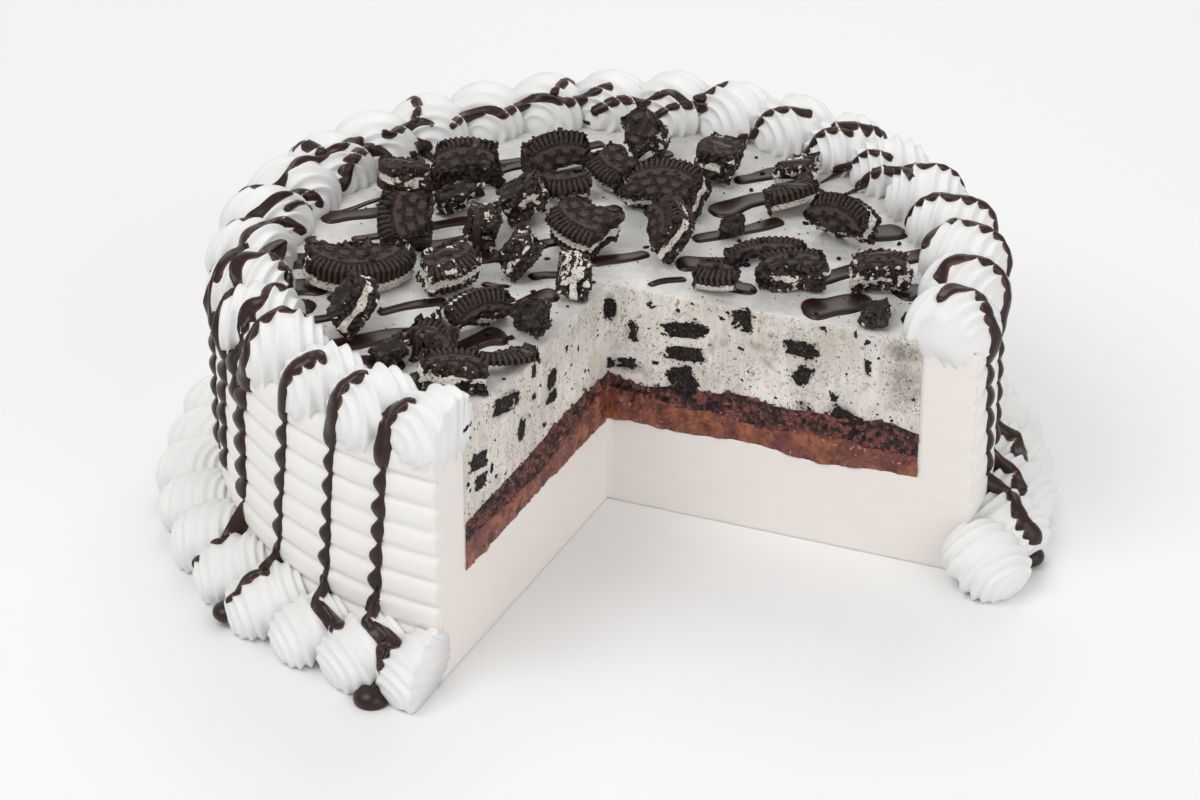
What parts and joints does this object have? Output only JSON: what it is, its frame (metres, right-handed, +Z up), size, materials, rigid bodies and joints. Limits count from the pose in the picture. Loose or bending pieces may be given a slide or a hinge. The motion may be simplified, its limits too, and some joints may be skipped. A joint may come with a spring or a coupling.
{
  "type": "ice cream cake",
  "caption": "Round layered ice cream cake with a wedge cut out, showing vanilla, fudge, cookie crunch and cookies and cream, with piped swirls, broken cookies and chocolate drizzle",
  "frame": {"origin": "centre of the round base, on the surface that the cake stands on; the flat underside is there", "axes": "+Z up; +Y away from the open wedge, so the cut faces look towards -Y; +X to the right as seen from the wedge side"},
  "size_m": [0.2922, 0.275, 0.0989],
  "materials": {
    "vanilla": "frosty satin",
    "fudge": "moist",
    "crunch": "crumbly",
    "cookies_and_cream": "frosty satin, speckled",
    "piping": "soft satin",
    "cookie": "dry, crumbly",
    "drizzle": "glossy"
  },
  "bodies": {
    "root": {"vanilla": "vanilla", "fudge": "fudge", "crunch": "crunch", "cookies_and_cream": "cookies_and_cream", "top_border": "piping", "foot_border": "piping", "cookie_01": "cookie", "cookie_02": "cookie", "cookie_03": "cookie", "cookie_04": "cookie", "cookie_05": "cookie", "cookie_06": "cookie", "cookie_07": "cookie", "cookie_08": "cookie", "cookie_09": "cookie", "cookie_10": "cookie", "cookie_11": "cookie", "cookie_12": "cookie", "cookie_13": "cookie", "cookie_14": "cookie", "cookie_15": "cookie", "cookie_16": "cookie", "cookie_17": "cookie", "cookie_18": "cookie", "cookie_19": "cookie", "cookie_20": "cookie", "cookie_21": "cookie", "cookie_22": "cookie", "cookie_23": "cookie", "cookie_24": "cookie", "cookie_25": "cookie", "cookie_26": "cookie", "cookie_27": "cookie", "cookie_28": "cookie", "cookie_29": "cookie", "cookie_30": "cookie", "cookie_31": "cookie", "cookie_32": "cookie", "cookie_33": "cookie", "cookie_34": "cookie", "cookie_35": "cookie"}
  },
  "joints": []
}
